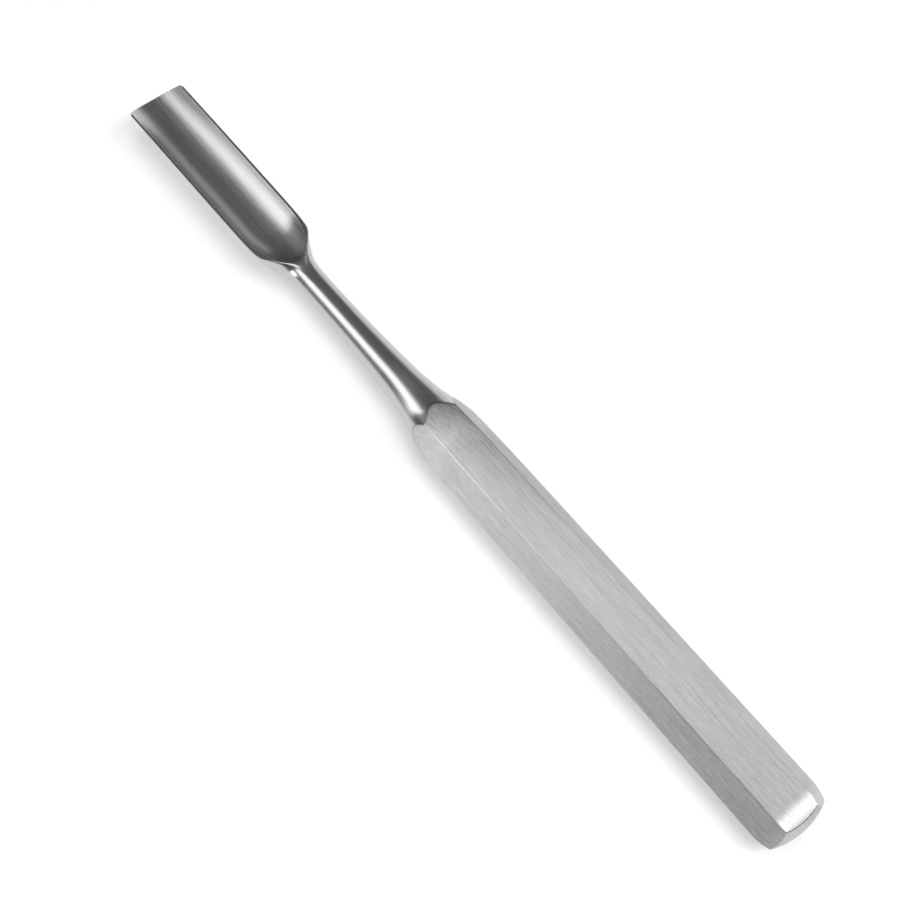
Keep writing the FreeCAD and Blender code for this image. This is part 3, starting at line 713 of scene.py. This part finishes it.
# painted light and shade: a little lighter at the left edge of the upper flat, and darker toward the right
# one
to_right = add(metal, "ShaderNodeMapRange", from_side, -FACET / 2, FACET / 2, -0.5, 1.0)
shade_by_arc = add(metal, "ShaderNodeMapRange", from_middle, NECK_END, NECK_END + ARC_FADE, ARC_SHADE, 0.0)
# painted shade toward the right side of the upper flat, fading away from the neck
beyond = add(metal, "ShaderNodeMapRange", from_middle, NECK_END, NECK_END + FADE, RIGHT_SHADE, 0.0)
painted_shade_and_light = add(metal, "MULTIPLY", mark["upper_flat"], add(metal, "MULTIPLY_ADD", beyond, to_right, shade_by_arc))
shade = add(metal, "SUBTRACT", add(metal, "ADD", scratch, 1.0), painted_shade_and_light)
shade = add(metal, "MULTIPLY_ADD", add(metal, "SUBTRACT", cloud, 0.5), CLOUD_SHADE, shade)
tone = add(metal, "ShaderNodeVectorMath", tone, shade, operation="SCALE")
# painted shade along the seams, where a flat dies out into the neck
seam_shade = add(metal, "MULTIPLY", mark["seam"], SEAM_SHADE_SHARE)
tone = add(metal, "ShaderNodeMix", seam_shade, tone, SEAM_SHADE, data_type="RGBA")
# rubbed wear and a painted highlight along every edge
arris_rub_and_highlight = add(metal, "MULTIPLY", mark["arris"], RUBBED_HIGHLIGHT_SHARE)
tone = add(metal, "ShaderNodeMix", arris_rub_and_highlight, tone, RUBBED_AND_HIGHLIGHT, data_type="RGBA")
metal.links.new(tone, shader.inputs["Base Color"])
print("two greys on the flats, a darker one in the seams and a lighter one on the edges")

# %% [markdown]
# A scratch is rougher than the metal beside it and lies a little deeper.  Bump is enough for that: it
# bends the light and leaves the mesh alone.

# %% Roughness and relief
SCRATCH_ROUGH, SCRATCH_DEEP, ARRIS_SHARE = 0.16, 0.02, 0.9

rough = add(metal, "MULTIPLY_ADD", mark["ground"], ROUGH_GROUND - ROUGH_NECK, ROUGH_NECK)
rough = add(metal, "MULTIPLY_ADD", mark["hollow"], ROUGH_HOLLOW - ROUGH_NECK, rough)
rough = add(metal, "MULTIPLY_ADD", scratch, SCRATCH_ROUGH, rough)
smoother = add(metal, "SUBTRACT", ROUGH_ARRIS, rough)
rough = add(metal, "MULTIPLY_ADD", add(metal, "MULTIPLY", mark["arris"], ARRIS_SHARE), smoother, rough)
metal.links.new(rough, shader.inputs["Roughness"])
relief = add(metal, "ShaderNodeBump", 1.0, SCRATCH_DEEP * MM, None, scratch)
metal.links.new(relief, shader.inputs["Normal"])
print("scratches", SCRATCH_DEEP, "mm deep at most")

# %% [markdown]
# A catalogue photograph like this one is taken on a white sheet under large soft boxes.  The sheet
# glows a little, because the light that it throws back and forth with the boxes never quite ends,
# and that keeps the shadows pale.

# %% The white sheet
SHEET = 3.0

floor_mesh = bpy.data.meshes.new("floor")
floor_mesh.from_pydata([(-SHEET, -SHEET, 0), (SHEET, -SHEET, 0), (SHEET, SHEET, 0), (-SHEET, SHEET, 0)],
                       [], [(0, 1, 2, 3)])
floor = bpy.data.objects.new("floor", floor_mesh)
bpy.context.scene.collection.objects.link(floor)
paper = bpy.data.materials.new("white_sheet")
paper.use_nodes = True
paper_shader = paper.node_tree.nodes["Principled BSDF"]
for name, value in {"Base Color": colour("#E1E1E1"), "Roughness": 0.9, "Specular IOR Level": 0.0,
                    "Emission Color": (1.0, 1.0, 1.0, 1.0), "Emission Strength": 0.36}.items():
    paper_shader.inputs[name].default_value = value
floor.data.materials.append(paper)
print("a sheet", 2 * SHEET, "m wide")

# %% [markdown]
# Bare metal shows little colour of its own: what the eye sees is the lights, mirrored and blurred.
# Each light is a flat panel that faces the middle of the tool.  The side box draws the white stripe
# down the neck, the overhead panel lights the top of the handle, and the box behind the butt catches
# where the flat rolls over.  Four cards stand lower around the tool: one lights the left facet, one
# the wall of the blade, one its scooped end, and a long white one the flanks on the right.

# %% The soft boxes
FAR = 0.9


def soft_box(name, direction, width, height, brightness, turned=0.0):
    """An area light that faces the middle of the tool, its width along it.  Brightness is what the
    metal sees in it, whatever its size."""
    light = bpy.data.lights.new(name, "AREA")
    light.shape, light.size, light.size_y = "RECTANGLE", width, height
    light.energy = brightness * math.pi * width * height
    box = bpy.data.objects.new(name, light)
    away = Vector(direction).normalized()
    box.location = away * FAR
    along = (Vector((1, 0, 0)) - away * away.x).normalized()
    axes = Matrix((along, away.cross(along), away)).transposed()
    box.rotation_euler = (axes @ Matrix.Rotation(math.radians(turned), 3, "Z")).to_euler()
    bpy.context.scene.collection.objects.link(box)


soft_box("side_box", (-0.50, -0.515, 0.70), 0.50, 0.46, 1.9, turned=15)
soft_box("low_card", (-0.27, -0.93, 0.22), 0.24, 0.34, 2.9)
soft_box("blade_card", (-0.61, -0.72, 0.30), 0.14, 0.36, 1.0)
soft_box("end_card", (-0.86, -0.28, 0.42), 0.50, 0.40, 0.25)
soft_box("overhead_panel", (-0.12, 0.16, 0.97), 0.50, 0.50, 2.75)
soft_box("back_box", (0.53, 0.28, 0.80), 0.40, 0.80, 5.0)
soft_box("white_card", (-0.20, 0.95, 0.19), 1.40, 0.30, 0.89)
print("seven lights", FAR, "m away")

# %% [markdown]
# Where no light stands the metal mirrors the room, which is nearly black at table height and dark
# grey overhead.  That makes the dark bands down the neck and inside the channel.

# %% The room
LOW_GREY, HIGH_GREY = 0.02, 0.12

room = bpy.data.worlds.new("room")
room.use_nodes = True
air = room.node_tree
height = add(air, "ShaderNodeSeparateXYZ", add(air, "ShaderNodeTexCoord", out="Generated"), out="Z")
grey = add(air, "ShaderNodeMapRange", height, 0.0, 0.5, LOW_GREY, HIGH_GREY)
air.links.new(grey, air.nodes["Background"].inputs["Color"])
bpy.context.scene.world = room
bpy.context.scene.view_settings.view_transform = "Standard"
print("the room runs from", LOW_GREY, "to", HIGH_GREY)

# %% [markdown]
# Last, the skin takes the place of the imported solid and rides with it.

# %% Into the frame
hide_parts("gouge")
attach(gouge, "root")
